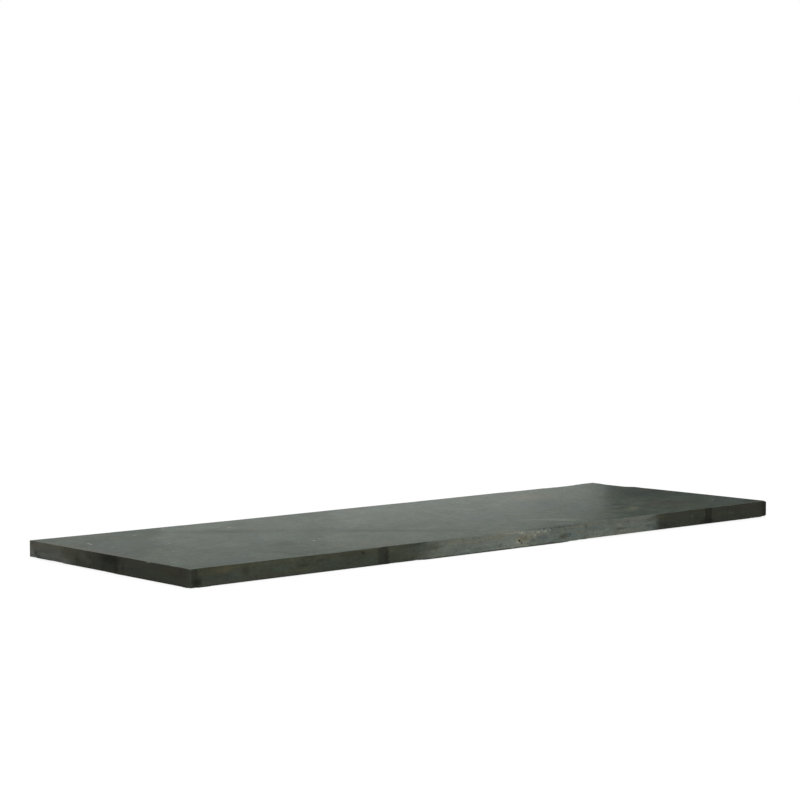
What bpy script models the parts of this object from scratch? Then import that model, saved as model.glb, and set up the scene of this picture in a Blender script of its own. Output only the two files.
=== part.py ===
"""A slate slab: a block split from its bed, sawn square on four edges, and worn and chipped by handling.

Lengths are in millimetres until the finished mesh is scaled to metres. X runs along the slab, Y across it
and Z up. The slab lies centred over the origin, on the plane Z = 0.
"""

from collections import namedtuple
from math import hypot, sqrt

import bmesh
import bpy
from mathutils import Vector, noise

MM = 0.001

# The sawn block.
LENGTH = 1500.0
WIDTH = 500.0
THICKNESS = 33.0

# Height of the top face over each corner, before its flakes are lost.
TOP_FRONT_LEFT = 33.1
TOP_FRONT_RIGHT = 34.9
TOP_BACK_LEFT = 32.3
TOP_BACK_RIGHT = 34.8

# The top face sags between its ends, more along the back, and rolls gently like the bed that it split from.
SAG_FRONT = 0.8
SAG_BACK = 1.5
ROLL_HEIGHT = 0.25
ROLL_SIZE = 190.0
TROUGH_DEPTH = 0.3
TROUGH_HALF_WIDTH = 45.0
TROUGH_START = Vector((-500.0, 190.0))
TROUGH_END = Vector((-20.0, -200.0))
TROUGH_SPACING = 150.0
TROUGHS = 2

# Worn edges: the radius of each upright corner, and the narrow wear along every other arris.
CORNER_WEAR = {
    "front left": 1.2,
    "front right": 2.2,
    "back left": 1.5,
    "back right": 4.0,
}
CORNER_SEGMENTS = 3
ARRIS_WEAR = 0.9
ARRIS_SEGMENTS = 2

# A flake scar is an oval that overhangs the edge, where thin leaves of slate have come away.
Scar = namedtuple("Scar", "x y half_length half_width depth")
TOP_SCARS = (
    Scar(790.0, 188.0, 60.0, 96.0, 1.9),
    Scar(560.0, 290.0, 205.0, 60.0, 0.6),
    Scar(640.0, 286.0, 84.0, 52.0, 0.7),
    Scar(-395.0, -262.0, 95.0, 20.0, 0.5),
    Scar(110.0, -262.0, 130.0, 19.0, 0.6),
)
UNDER_SCARS = (
    Scar(-510.0, -285.0, 350.0, 62.0, 0.9),
    Scar(-268.0, -283.0, 62.0, 50.0, 0.5),
    Scar(450.0, -290.0, 370.0, 75.0, 1.8),
    Scar(735.0, -268.0, 45.0, 40.0, 1.0),
    Scar(-790.0, 20.0, 75.0, 350.0, 1.0),
    Scar(-785.0, 75.0, 60.0, 130.0, 0.6),
    Scar(-770.0, 275.0, 95.0, 150.0, 1.0),
    Scar(790.0, -60.0, 80.0, 260.0, 1.6),
    Scar(120.0, 290.0, 420.0, 72.0, 1.4),
    Scar(-480.0, 285.0, 210.0, 55.0, 1.1),
)
LEAF_SHARE = 0.6
LEAF_INSET = 9.0
LEAF_STEP_RUN = 3.0
SCAR_RAGGED = 0.16
SCAR_RAGGED_SIZE = 38.0

# A chip is a shallow bowl that cuts an arris on its diagonal.
Chip = namedtuple("Chip", "side level along half_length depth")
CHIPS = (
    Chip("front", "top", 312.0, 12.0, 1.2),
    Chip("front", "top", 749.0, 9.0, 2.0),
    Chip("front", "bottom", -246.0, 9.0, 1.9),
    Chip("front", "bottom", 152.0, 17.0, 1.7),
    Chip("front", "bottom", 18.0, 13.0, 1.4),
    Chip("front", "bottom", 749.0, 8.0, 1.8),
    Chip("left", "top", -128.0, 12.0, 1.4),
    Chip("left", "bottom", 239.0, 16.0, 2.2),
    Chip("right", "top", 96.0, 22.0, 1.8),
    Chip("right", "top", -249.0, 9.0, 2.0),
    Chip("right", "bottom", -249.0, 8.0, 1.8),
    Chip("back", "top", 188.0, 26.0, 1.6),
    Chip("back", "top", -396.0, 20.0, 1.4),
    Chip("back", "bottom", 612.0, 13.0, 1.6),
    Chip("back", "bottom", 331.0, 20.0, 1.3),
    Chip("back", "bottom", -84.0, 16.0, 1.7),
    Chip("back", "bottom", -270.0, 11.0, 1.2),
    Chip("back", "bottom", -655.0, 21.0, 1.5),
    Chip("right", "bottom", 143.0, 15.0, 1.5),
    Chip("right", "bottom", -88.0, 19.0, 1.3),
)
CHIP_SPREAD = 2.6

# A pit is a round hollow in the front edge.
Pit = namedtuple("Pit", "x z radius depth")
FRONT_PITS = (
    Pit(17.0, 15.0, 5.0, 3.2),
    Pit(-374.0, 25.7, 3.2, 1.8),
    Pit(425.0, 9.0, 6.5, 1.0),
)

# The mesh: a plain grid, split further only where the relief bends more than the tolerance.
GRID_STEP = 40.0
EDGE_ROWS = (8.0, 20.0)
SIDE_ROWS = (6.0, 13.0, 20.0, 27.0)
BEND_TOLERANCE = 0.25
SHORTEST_SPLIT = 3.0
SPLIT_ROUNDS = 5

SLATE_COLOUR = (0.082, 0.105, 0.087, 1.0)
SLATE_ROUGHNESS = 0.55

INWARD = {
    "front": Vector((0.0, 1.0, 0.0)),
    "back": Vector((0.0, -1.0, 0.0)),
    "left": Vector((1.0, 0.0, 0.0)),
    "right": Vector((-1.0, 0.0, 0.0)),
}
HALF_SIZE = {
    "front": WIDTH / 2,
    "back": WIDTH / 2,
    "left": LENGTH / 2,
    "right": LENGTH / 2,
}


def clear_scene():
    for obj in list(bpy.data.objects):
        bpy.data.objects.remove(obj)


def mix(low, high, share):
    return low + (high - low) * share


def smooth_step(value):
    value = min(max(value, 0.0), 1.0)
    return value * value * (3.0 - 2.0 * value)


def scar_depth(scar, x, y):
    """How far the surface has dropped at (x, y): one leaf at the rim, and the rest a little further in."""
    ragged = SCAR_RAGGED * noise.noise(Vector((x, y, scar.x)) / SCAR_RAGGED_SIZE)
    reach = hypot((x - scar.x) / scar.half_length, (y - scar.y) / scar.half_width) + ragged
    inside = (1.0 - reach) * min(scar.half_length, scar.half_width)
    first = smooth_step(inside / LEAF_STEP_RUN)
    second = smooth_step((inside - LEAF_INSET) / LEAF_STEP_RUN)
    return scar.depth * mix(second, first, LEAF_SHARE)


def trough_depth(x, y):
    """The low parallel troughs that cross the left half of the top face."""
    run = (TROUGH_END - TROUGH_START).normalized()
    offset = Vector((x, y)) - TROUGH_START
    across = offset.x * run.y - offset.y * run.x
    along = offset.dot(run) / (TROUGH_END - TROUGH_START).length
    fade = smooth_step(3.0 * along) * smooth_step(3.0 * (1.0 - along))
    depth = 0.0
    for k in range(TROUGHS):
        off_centre = (across + k * TROUGH_SPACING) / TROUGH_HALF_WIDTH
        depth += TROUGH_DEPTH * fade / (1.0 + off_centre**4)
    return depth


def top_height(x, y):
    along = x / LENGTH + 0.5
    across = y / WIDTH + 0.5
    left = mix(TOP_FRONT_LEFT, TOP_BACK_LEFT, across)
    right = mix(TOP_FRONT_RIGHT, TOP_BACK_RIGHT, across)
    height = mix(left, right, along)
    height -= mix(SAG_FRONT, SAG_BACK, across) * 4.0 * along * (1.0 - along)
    height += ROLL_HEIGHT * noise.noise(Vector((x, y, 0.0)) / ROLL_SIZE)
    return height - trough_depth(x, y) - sum(scar_depth(scar, x, y) for scar in TOP_SCARS)


def underside_height(x, y):
    return sum(scar_depth(scar, x, y) for scar in UNDER_SCARS)


def chip_push(chip, point, low, high):
    """How a chip moves a surface point: inwards along the arris's diagonal, down to the chip's bowl."""
    inward = INWARD[chip.side]
    from_side = point.dot(inward) + HALF_SIZE[chip.side]
    from_face = high - point.z if chip.level == "top" else point.z - low
    along = point.x if inward.x == 0.0 else point.y
    beside = (along - chip.along) / chip.half_length
    across = (from_side - from_face) / sqrt(2.0) / (CHIP_SPREAD * chip.depth)
    bowl = chip.depth * (1.0 - beside * beside - across * across)
    push = bowl - (from_side + from_face) / sqrt(2.0)
    if push <= 0.0:
        return Vector()
    towards = Vector((0.0, 0.0, -1.0 if chip.level == "top" else 1.0))
    return (inward + towards) * push / sqrt(2.0)


def pit_push(pit, point):
    """How a pit moves a point of the front edge: straight in, to the floor of a round bowl."""
    reach = hypot(point.x - pit.x, point.z - pit.z) / pit.radius
    on_edge = point.y < -WIDTH / 2 + ARRIS_WEAR / 2
    if reach >= 1.0 or not on_edge:
        return Vector()
    return Vector((0.0, pit.depth * (1.0 - reach * reach), 0.0))


def shaped(point):
    """Where a point of the plain sawn block ends up on the worn slab."""
    low = underside_height(point.x, point.y)
    high = top_height(point.x, point.y)
    moved = Vector((point.x, point.y, mix(low, high, point.z / THICKNESS)))
    moved += sum((chip_push(chip, moved, low, high) for chip in CHIPS), Vector())
    moved += sum((pit_push(pit, moved) for pit in FRONT_PITS), Vector())
    return moved


def is_upright(edge):
    first, second = (vert.co for vert in edge.verts)
    return first.x == second.x and first.y == second.y


def corner_name(point):
    return ("front" if point.y < 0.0 else "back") + (" left" if point.x < 0.0 else " right")


def bevel(mesh, edges, width, segments):
    bmesh.ops.bevel(
        mesh,
        geom=edges,
        offset=width,
        offset_type="OFFSET",
        segments=segments,
        profile=0.5,
        affect="EDGES",
        clamp_overlap=True,
        material=-1,
    )


def sawn_block():
    """The square block with its corners and arrises worn, standing on Z = 0."""
    mesh = bmesh.new()
    bmesh.ops.create_cube(mesh, size=1.0)
    bmesh.ops.scale(mesh, vec=(LENGTH, WIDTH, THICKNESS), verts=mesh.verts)
    bmesh.ops.translate(mesh, vec=(0.0, 0.0, THICKNESS / 2), verts=mesh.verts)
    for name, radius in CORNER_WEAR.items():
        upright = [e for e in mesh.edges if is_upright(e) and corner_name(e.verts[0].co) == name]
        bevel(mesh, upright, radius, CORNER_SEGMENTS)
    level = [e for e in mesh.edges if not is_upright(e)]
    bevel(mesh, level, ARRIS_WEAR, ARRIS_SEGMENTS)
    return mesh


def stations(half_size):
    """Cuts along one axis: an even grid, and closer rows beside both ends."""
    steps = round(2.0 * half_size / GRID_STEP)
    even = [(k / steps * 2.0 - 1.0) * half_size for k in range(1, steps)]
    rows = [sign * (half_size - row) for row in EDGE_ROWS for sign in (-1.0, 1.0)]
    return even + rows


def cut(mesh, point, normal):
    every = list(mesh.verts) + list(mesh.edges) + list(mesh.faces)
    bmesh.ops.bisect_plane(mesh, geom=every, dist=1e-4, plane_co=point, plane_no=normal)


def cut_grid(mesh):
    for x in stations(LENGTH / 2):
        cut(mesh, (x, 0.0, 0.0), (1.0, 0.0, 0.0))
    for y in stations(WIDTH / 2):
        cut(mesh, (0.0, y, 0.0), (0.0, 1.0, 0.0))
    for z in SIDE_ROWS:
        cut(mesh, (0.0, 0.0, z), (0.0, 0.0, 1.0))


def bend(edge):
    """How far the worn surface strays from a straight edge, at its middle."""
    first, second = (vert.co for vert in edge.verts)
    straight = (shaped(first) + shaped(second)) / 2.0
    return (shaped((first + second) / 2.0) - straight).length


def split_where_bent(mesh):
    for _ in range(SPLIT_ROUNDS):
        bmesh.ops.triangulate(mesh, faces=mesh.faces)
        long_edges = [e for e in mesh.edges if e.calc_length() > SHORTEST_SPLIT]
        bent = [e for e in long_edges if bend(e) > BEND_TOLERANCE]
        bmesh.ops.subdivide_edges(mesh, edges=bent, cuts=1, use_single_edge=True)
    bmesh.ops.triangulate(mesh, faces=mesh.faces)


def slate():
    material = bpy.data.materials.new("slate")
    material.use_nodes = True
    surface = material.node_tree.nodes["Principled BSDF"]
    surface.inputs["Base Color"].default_value = SLATE_COLOUR
    surface.inputs["Roughness"].default_value = SLATE_ROUGHNESS
    surface.inputs["Metallic"].default_value = 0.0
    return material


def make_slab():
    mesh = sawn_block()
    cut_grid(mesh)
    split_where_bent(mesh)
    for vert in mesh.verts:
        vert.co = shaped(vert.co)
    bmesh.ops.scale(mesh, vec=(MM, MM, MM), verts=mesh.verts)
    bmesh.ops.recalc_face_normals(mesh, faces=mesh.faces)
    data = bpy.data.meshes.new("slab")
    mesh.to_mesh(data)
    mesh.free()
    data.materials.append(slate())
    slab = bpy.data.objects.new("slab", data)
    bpy.context.collection.objects.link(slab)


clear_scene()
make_slab()
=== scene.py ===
"""The looks of a slate slab: a satin cleft face, sawn edges with weather stains, and broken arrises.

The slab is worked out in millimetres, as its solid was, and scaled to metres at the end. X runs along it, Y
across it and Z up.
"""

import random
from collections import namedtuple
from math import pi, radians, sqrt

import bmesh
import bpy
import numpy as np
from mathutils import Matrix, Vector, noise


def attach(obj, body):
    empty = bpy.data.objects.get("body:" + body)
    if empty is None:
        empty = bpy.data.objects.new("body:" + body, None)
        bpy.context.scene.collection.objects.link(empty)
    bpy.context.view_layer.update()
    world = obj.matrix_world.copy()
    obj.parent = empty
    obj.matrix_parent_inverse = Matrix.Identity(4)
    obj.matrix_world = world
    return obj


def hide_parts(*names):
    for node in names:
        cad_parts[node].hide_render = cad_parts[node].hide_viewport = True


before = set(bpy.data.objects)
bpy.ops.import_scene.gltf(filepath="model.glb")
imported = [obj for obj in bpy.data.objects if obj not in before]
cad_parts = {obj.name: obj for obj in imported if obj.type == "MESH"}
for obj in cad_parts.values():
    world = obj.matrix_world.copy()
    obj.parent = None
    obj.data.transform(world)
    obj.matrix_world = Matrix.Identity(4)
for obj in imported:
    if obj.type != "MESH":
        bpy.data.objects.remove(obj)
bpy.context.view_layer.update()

MM = 0.001

# --------------------------------------
# The slab's sizes, in millimetres: the same as its solid's.

LENGTH = 1500.0
WIDTH = 500.0
THICKNESS = 33.0

TOP_FRONT_LEFT = 33.1
TOP_FRONT_RIGHT = 34.9
TOP_BACK_LEFT = 32.3
TOP_BACK_RIGHT = 34.8
SAG_FRONT = 0.8
SAG_BACK = 1.5
ROLL_HEIGHT = 0.25
ROLL_SIZE = 190.0
TROUGH_DEPTH = 0.3
TROUGH_HALF_WIDTH = 45.0
TROUGH_START = np.array((-500.0, 190.0))
TROUGH_END = np.array((-20.0, -200.0))
TROUGH_SPACING = 150.0
TROUGHS = 2
TROUGH_FADE = 3.0

CORNER_WEAR = {
    "front left": 1.2,
    "front right": 2.2,
    "back left": 1.5,
    "back right": 4.0,
}
CORNER_SEGMENTS = 6
ARRIS_WEAR = 0.9
ARRIS_SEGMENTS = 3

Scar = namedtuple("Scar", "x y half_length half_width depth")
TOP_SCARS = (
    Scar(790.0, 188.0, 60.0, 96.0, 1.9),
    Scar(560.0, 290.0, 205.0, 60.0, 0.6),
    Scar(640.0, 286.0, 84.0, 52.0, 0.7),
    Scar(-395.0, -262.0, 95.0, 20.0, 0.5),
    Scar(110.0, -262.0, 130.0, 19.0, 0.6),
)
UNDER_SCARS = (
    Scar(-510.0, -285.0, 350.0, 62.0, 0.9),
    Scar(-268.0, -283.0, 62.0, 50.0, 0.5),
    Scar(450.0, -290.0, 370.0, 75.0, 1.8),
    Scar(735.0, -268.0, 45.0, 40.0, 1.0),
    Scar(-790.0, 20.0, 75.0, 350.0, 1.0),
    Scar(-785.0, 75.0, 60.0, 130.0, 0.6),
    Scar(-770.0, 275.0, 95.0, 150.0, 1.0),
    Scar(790.0, -60.0, 80.0, 260.0, 1.6),
    Scar(120.0, 290.0, 420.0, 72.0, 1.4),
    Scar(-480.0, 285.0, 210.0, 55.0, 1.1),
)
LEAF_SHARE = 0.6
LEAF_INSET = 9.0
LEAF_STEP_RUN = 2.2
SCAR_RAGGED = 0.16
SCAR_RAGGED_SIZE = 38.0

Chip = namedtuple("Chip", "side level along half_length depth")
CHIPS = (
    Chip("front", "top", 312.0, 12.0, 1.2),
    Chip("front", "top", 749.0, 9.0, 2.0),
    Chip("front", "bottom", -246.0, 9.0, 1.9),
    Chip("front", "bottom", 152.0, 17.0, 1.7),
    Chip("front", "bottom", 18.0, 13.0, 1.4),
    Chip("front", "bottom", 749.0, 8.0, 1.8),
    Chip("left", "top", -128.0, 12.0, 1.4),
    Chip("left", "bottom", 239.0, 16.0, 2.2),
    Chip("right", "top", 96.0, 22.0, 1.8),
    Chip("right", "top", -249.0, 9.0, 2.0),
    Chip("right", "bottom", -249.0, 8.0, 1.8),
    Chip("back", "top", 188.0, 26.0, 1.6),
    Chip("back", "top", -396.0, 20.0, 1.4),
    Chip("back", "bottom", 612.0, 13.0, 1.6),
    Chip("back", "bottom", 331.0, 20.0, 1.3),
    Chip("back", "bottom", -84.0, 16.0, 1.7),
    Chip("back", "bottom", -270.0, 11.0, 1.2),
    Chip("back", "bottom", -655.0, 21.0, 1.5),
    Chip("right", "bottom", 143.0, 15.0, 1.5),
    Chip("right", "bottom", -88.0, 19.0, 1.3),
)
CHIP_SPREAD = 2.6

Pit = namedtuple("Pit", "x z radius depth")
FRONT_PITS = (
    Pit(17.0, 15.0, 5.0, 3.2),
    Pit(-374.0, 25.7, 3.2, 1.8),
    Pit(425.0, 9.0, 6.5, 1.0),
)

# Finer work than the solid's: nicks along the arrises, crumbly breaks, and the cleft's ripple.
NICK_SEED = 23
NICKS_PER_LONG_ARRIS = 46
NICKS_PER_SHORT_ARRIS = 15
NICK_HALF_LENGTHS = (1.6, 6.0)
NICK_DEPTHS = (0.5, 0.9)
NICK_END_MARGIN = 6.0
BREAK_RELIEF = 0.22
BREAK_SIZE = 3.4
BREAK_RIM = 0.45
GRAIN_TURN = radians(8.0)
RIPPLE_LENGTH = 60.0
RIPPLE_WIDTH = 48.0
RIPPLE_HEIGHT = 0.03

# The mesh: a plain grid with close rows beside each arris, split further where the surface bends more
# than the tolerance.
GRID_STEP = 7.5
EDGE_ROWS = (1.9, 4.2)
CORNER_ROWS = (6.6,)
SIDE_ROWS = (2.0, 4.0, 8.0, 12.5, 17.0, 21.5, 26.0, 29.0, 31.0)
BEND_TOLERANCE = 0.07
SHORTEST_SPLIT = 1.7
SPLIT_ROUNDS = 4
NEAR_SIDE = 9.0
WEAR_REACH = 2.4

INWARD = {
    "front": np.array((0.0, 1.0, 0.0)),
    "back": np.array((0.0, -1.0, 0.0)),
    "left": np.array((1.0, 0.0, 0.0)),
    "right": np.array((-1.0, 0.0, 0.0)),
}
HALF_SIZE = {
    "front": WIDTH / 2,
    "back": WIDTH / 2,
    "left": LENGTH / 2,
    "right": LENGTH / 2,
}


# --------------------------------------
# The relief, worked out for many points at once. Points are rows of x, y and z.


def mix(low, high, share):
    return low + (high - low) * share


def smooth_step(value):
    value = np.clip(value, 0.0, 1.0)
    return value * value * (3.0 - 2.0 * value)


def noise_at(x, y, z, size):
    places = np.column_stack(np.broadcast_arrays(x, y, z)) / size
    return np.array([noise.noise(place) for place in places.tolist()])


def scar_depth(scar, x, y):
    """How far the surface has dropped: one leaf at the rim, and the rest a little further in."""
    reach = np.hypot((x - scar.x) / scar.half_length, (y - scar.y) / scar.half_width)
    depth = np.zeros(len(x))
    near = reach < 1.0 + SCAR_RAGGED
    if not near.any():
        return depth
    ragged = SCAR_RAGGED * noise_at(x[near], y[near], scar.x, SCAR_RAGGED_SIZE)
    inside = (1.0 - reach[near] - ragged) * min(scar.half_length, scar.half_width)
    first = smooth_step(inside / LEAF_STEP_RUN)
    second = smooth_step((inside - LEAF_INSET) / LEAF_STEP_RUN)
    depth[near] = scar.depth * mix(second, first, LEAF_SHARE)
    return depth


def trough_depth(x, y):
    """The shallow parallel troughs that cross the left half of the top face."""
    run = TROUGH_END - TROUGH_START
    length = np.hypot(*run)
    run = run / length
    off_x = x - TROUGH_START[0]
    off_y = y - TROUGH_START[1]
    across = off_x * run[1] - off_y * run[0]
    along = (off_x * run[0] + off_y * run[1]) / length
    fade = smooth_step(TROUGH_FADE * along) * smooth_step(TROUGH_FADE * (1.0 - along))
    depth = np.zeros(len(x))
    for k in range(TROUGHS):
        off_centre = (across + k * TROUGH_SPACING) / TROUGH_HALF_WIDTH
        depth += TROUGH_DEPTH * fade / (1.0 + off_centre**4)
    return depth


def ripple(x, y):
    """The fine ripple that the cleft leaves along its grain."""
    along = x * np.cos(GRAIN_TURN) + y * np.sin(GRAIN_TURN)
    across = y * np.cos(GRAIN_TURN) - x * np.sin(GRAIN_TURN)
    return RIPPLE_HEIGHT * noise_at(along / RIPPLE_LENGTH, across / RIPPLE_WIDTH, 0.0, size=1.0)


def top_height(x, y):
    along = x / LENGTH + 0.5
    across = y / WIDTH + 0.5
    left = mix(TOP_FRONT_LEFT, TOP_BACK_LEFT, across)
    right = mix(TOP_FRONT_RIGHT, TOP_BACK_RIGHT, across)
    height = mix(left, right, along)
    height -= mix(SAG_FRONT, SAG_BACK, across) * 4.0 * along * (1.0 - along)
    height += ROLL_HEIGHT * noise_at(x, y, 0.0, ROLL_SIZE)
    height += ripple(x, y) - trough_depth(x, y)
    for scar in TOP_SCARS:
        height -= scar_depth(scar, x, y)
    return height


def underside_height(x, y):
    height = np.zeros(len(x))
    for scar in UNDER_SCARS:
        height += scar_depth(scar, x, y)
    return height


def nicks():
    """Small chips dealt out at random along every arris."""
    dice = random.Random(NICK_SEED)
    found = []
    for side, inward in INWARD.items():
        long_side = inward[0] == 0.0
        count = NICKS_PER_LONG_ARRIS if long_side else NICKS_PER_SHORT_ARRIS
        reach = (LENGTH if long_side else WIDTH) / 2 - NICK_END_MARGIN
        for level in ("top", "bottom"):
            for _ in range(count):
                place = dice.uniform(-reach, reach)
                half_length = dice.uniform(*NICK_HALF_LENGTHS)
                found.append(Chip(side, level, place, half_length, dice.uniform(*NICK_DEPTHS)))
    return tuple(found)


def cut_chip(chip, points, low, high, broken):
    """Moves the points that the chip reaches inwards along the arris's diagonal, down to the chip's bowl."""
    inward = INWARD[chip.side]
    along = points[:, 0] if inward[0] == 0.0 else points[:, 1]
    near = np.flatnonzero(np.abs(along - chip.along) < chip.half_length)
    point = points[near]
    from_side = point @ inward + HALF_SIZE[chip.side]
    from_face = high[near] - point[:, 2] if chip.level == "top" else point[:, 2] - low[near]
    beside = (along[near] - chip.along) / chip.half_length
    across = (from_side - from_face) / sqrt(2.0) / (CHIP_SPREAD * chip.depth)
    bowl = chip.depth * (1.0 - beside * beside - across * across)
    push = bowl - (from_side + from_face) / sqrt(2.0)
    cut = push > 0.0
    if not cut.any():
        return
    near = near[cut]
    push = push[cut]
    crumbly = BREAK_RELIEF * noise_at(*points[near].T, BREAK_SIZE)
    towards = np.array((0.0, 0.0, -1.0 if chip.level == "top" else 1.0))
    move = push + crumbly * smooth_step(push / BREAK_RELIEF)
    points[near] += (inward + towards) * move[:, None] / sqrt(2.0)
    broken[near] = np.maximum(broken[near], smooth_step(push / BREAK_RIM))


def sink_pit(pit, points):
    """Sinks a round bowl straight into the front edge."""
    reach = np.hypot(points[:, 0] - pit.x, points[:, 2] - pit.z) / pit.radius
    hit = (reach < 1.0) & (points[:, 1] < -WIDTH / 2 + ARRIS_WEAR / 2)
    points[hit, 1] += pit.depth * (1.0 - reach[hit] ** 2)


def worn(block, all_chips):
    """Where the plain sawn block's points end up on the worn slab, and how far each lies in a break."""
    x, y, z = block.T
    low = underside_height(x, y)
    high = top_height(x, y)
    points = np.column_stack((x, y, mix(low, high, z / THICKNESS)))
    broken = np.zeros(len(points))
    to_side = np.minimum(LENGTH / 2 - np.abs(x), WIDTH / 2 - np.abs(y))
    rim = np.flatnonzero(to_side < NEAR_SIDE)
    rim_points = points[rim]
    rim_broken = broken[rim]
    for chip in all_chips:
        cut_chip(chip, rim_points, low[rim], high[rim], rim_broken)
    for pit in FRONT_PITS:
        sink_pit(pit, rim_points)
    points[rim] = rim_points
    broken[rim] = rim_broken
    return points, broken


# --------------------------------------
# The block that the relief is worked into.


def is_upright(edge):
    first, second = (vert.co for vert in edge.verts)
    return first.x == second.x and first.y == second.y


def corner_name(point):
    return ("front" if point.y < 0.0 else "back") + (" left" if point.x < 0.0 else " right")


def bevel(mesh, edges, width, segments):
    bmesh.ops.bevel(
        mesh,
        geom=edges,
        offset=width,
        offset_type="OFFSET",
        segments=segments,
        profile=0.5,
        affect="EDGES",
        clamp_overlap=True,
        material=-1,
    )


def sawn_block():
    """The square block with its corners and arrises worn, standing on Z = 0."""
    mesh = bmesh.new()
    bmesh.ops.create_cube(mesh, size=1.0)
    bmesh.ops.scale(mesh, vec=(LENGTH, WIDTH, THICKNESS), verts=mesh.verts)
    bmesh.ops.translate(mesh, vec=(0.0, 0.0, THICKNESS / 2), verts=mesh.verts)
    for name, radius in CORNER_WEAR.items():
        upright = [e for e in mesh.edges if is_upright(e) and corner_name(e.verts[0].co) == name]
        bevel(mesh, upright, radius, CORNER_SEGMENTS)
    level = [e for e in mesh.edges if not is_upright(e)]
    bevel(mesh, level, ARRIS_WEAR, ARRIS_SEGMENTS)
    return mesh


def stations(half_size):
    """Cuts along one axis: an even grid, and closer rows beside both ends."""
    steps = round(2.0 * half_size / GRID_STEP)
    even = [(k / steps * 2.0 - 1.0) * half_size for k in range(1, steps)]
    rows = [sign * (half_size - row) for row in EDGE_ROWS + CORNER_ROWS for sign in (-1.0, 1.0)]
    return even + rows


def cut(mesh, point, normal):
    every = list(mesh.verts) + list(mesh.edges) + list(mesh.faces)
    bmesh.ops.bisect_plane(mesh, geom=every, dist=1e-4, plane_co=point, plane_no=normal)


def cut_grid(mesh):
    for z in SIDE_ROWS:
        cut(mesh, (0.0, 0.0, z), (0.0, 0.0, 1.0))
    for y in stations(WIDTH / 2):
        cut(mesh, (0.0, y, 0.0), (0.0, 1.0, 0.0))
    for x in stations(LENGTH / 2):
        cut(mesh, (x, 0.0, 0.0), (1.0, 0.0, 0.0))


def split_where_bent(mesh, all_chips):
    """Splits each edge whose middle the worn surface misses by more than the tolerance."""
    for _ in range(SPLIT_ROUNDS):
        bmesh.ops.triangulate(mesh, faces=mesh.faces)
        edges = [e for e in mesh.edges if e.calc_length() > SHORTEST_SPLIT]
        first = np.array([e.verts[0].co for e in edges])
        second = np.array([e.verts[1].co for e in edges])
        straight = (worn(first, all_chips)[0] + worn(second, all_chips)[0]) / 2.0
        middle = worn((first + second) / 2.0, all_chips)[0]
        bend = np.linalg.norm(middle - straight, axis=1)
        bent = [edges[k] for k in np.flatnonzero(bend > BEND_TOLERANCE)]
        bmesh.ops.subdivide_edges(mesh, edges=bent, cuts=1, use_single_edge=True)
    bmesh.ops.triangulate(mesh, faces=mesh.faces)


# --------------------------------------
# Materials.


def colour(code):
    """A colour given as sRGB hex, turned to the linear values that the shaders take."""
    parts = [int(code[k:k + 2], 16) / 255.0 for k in (1, 3, 5)]
    linear = [c / 12.92 if c <= 0.04045 else ((c + 0.055) / 1.055) ** 2.4 for c in parts]
    return (*linear, 1.0)


def add_node(tree, kind, joins=None, **settings):
    """Adds a node with its settings and links. joins gives each input a value, or an output to feed it."""
    made = tree.nodes.new("ShaderNode" + kind)
    for name, value in settings.items():
        setattr(made, name, value)
    for name, source in (joins or {}).items():
        if isinstance(source, bpy.types.NodeSocket):
            tree.links.new(source, made.inputs[name])
        else:
            made.inputs[name].default_value = source
    return made


def new_material(name):
    material = bpy.data.materials.new(name)
    material.use_nodes = True
    tree = material.node_tree
    return material, tree, tree.nodes["Principled BSDF"]


# A pattern layer is noise with cells of a real size: long, wide and high in millimetres, and a turn about Z
# in radians. Its weight counts where layers are stacked.
Layer = namedtuple("Layer", "long wide high turn detail weight", defaults=(1.0,))
NOISE_MIDDLE = 0.5


def pattern(tree, place, layer):
    """Noise around 0.5 whose cells have the layer's size."""
    cells = add_node(
        tree, "Mapping",
        {"Vector": place, "Rotation": (0.0, 0.0, layer.turn),
         "Scale": (layer.long * MM, layer.wide * MM, layer.high * MM)},
        vector_type="TEXTURE",
    )
    found = add_node(tree, "TexNoise", {"Vector": cells.outputs[0], "Scale": 1.0, "Detail": layer.detail})
    return found.outputs["Fac"]


def stacked(tree, place, layers, start):
    """The weighted sum of several layers, each counted from its middle, on top of a start value."""
    total = start - sum(layer.weight for layer in layers) * NOISE_MIDDLE
    for layer in layers:
        step = add_node(
            tree, "Math", {0: pattern(tree, place, layer), 1: layer.weight, 2: total},
            operation="MULTIPLY_ADD",
        )
        total = step.outputs[0]
    return total


# A ramp is a smooth step: at_low where a value is low or less, at_high where it is high or more.
Ramp = namedtuple("Ramp", "low high at_low at_high")
SMOOTH = {"interpolation_type": "SMOOTHSTEP"}


def ramp_joins(value, ramp):
    return {
        "Value": value, "From Min": ramp.low, "From Max": ramp.high,
        "To Min": ramp.at_low, "To Max": ramp.at_high,
    }


def tinted(tree, tone, value, ramp, tint, how="MIX", thinning=None):
    """Lays a tint over a tone, as strongly as the ramp makes of the value. A low thinning weakens it."""
    share = add_node(tree, "MapRange", ramp_joins(value, ramp), **SMOOTH).outputs[0]
    if thinning is not None:
        share = add_node(tree, "Math", {0: share, 1: thinning}, operation="MULTIPLY").outputs[0]
    laid = add_node(tree, "Mix", {0: share, 6: tone, 7: colour(tint)}, data_type="RGBA", blend_type=how)
    return laid.outputs[2]


# A mark is an oval stain, spot or scratch, or an oval of painted shade: its middle and half sizes in
# millimetres, its turn about Z in degrees, the share of it that fades out, its strength and its colour.
Mark = namedtuple("Mark", "x y z half_long half_wide half_high turn fade strength tint")


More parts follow.
